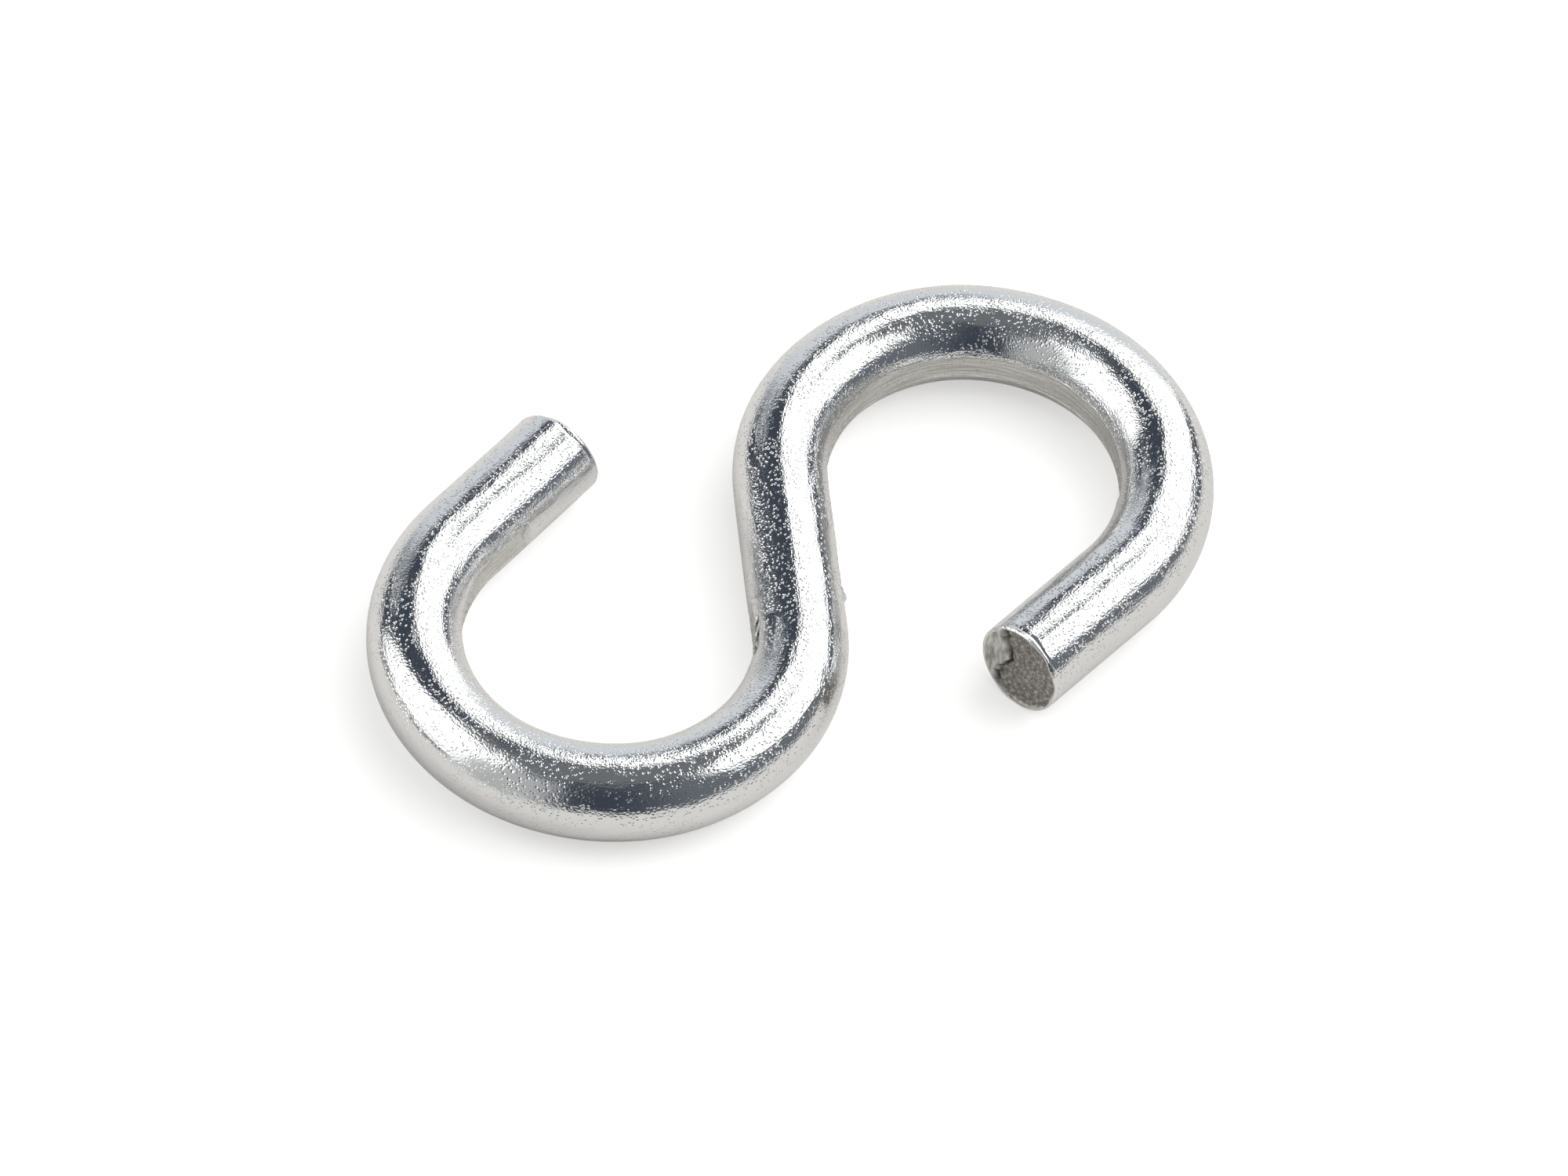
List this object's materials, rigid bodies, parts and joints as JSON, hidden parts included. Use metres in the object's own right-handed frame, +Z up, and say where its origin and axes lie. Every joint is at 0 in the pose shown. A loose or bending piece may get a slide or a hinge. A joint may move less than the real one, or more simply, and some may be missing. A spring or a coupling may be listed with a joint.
{
  "type": "s hook",
  "caption": "Open S hook bent from one length of round zinc-plated steel wire, for joining rings, links or chain at its two hooks.",
  "frame": {"origin": "below the middle of the bounding box, on the surface the hook lies on", "axes": "+Z up, square to the plane the wire is bent in; +X along the line through the two hook centres, towards the hook whose arm is on the -Y side; lying flat as it comes to rest"},
  "size_m": [0.0468, 0.0286, 0.005],
  "materials": {
    "zinc_steel": "bright zinc plate over drawn steel wire, semi-gloss, with bare sheared end faces"
  },
  "bodies": {
    "root": {"s_hook": "zinc_steel"}
  },
  "joints": []
}
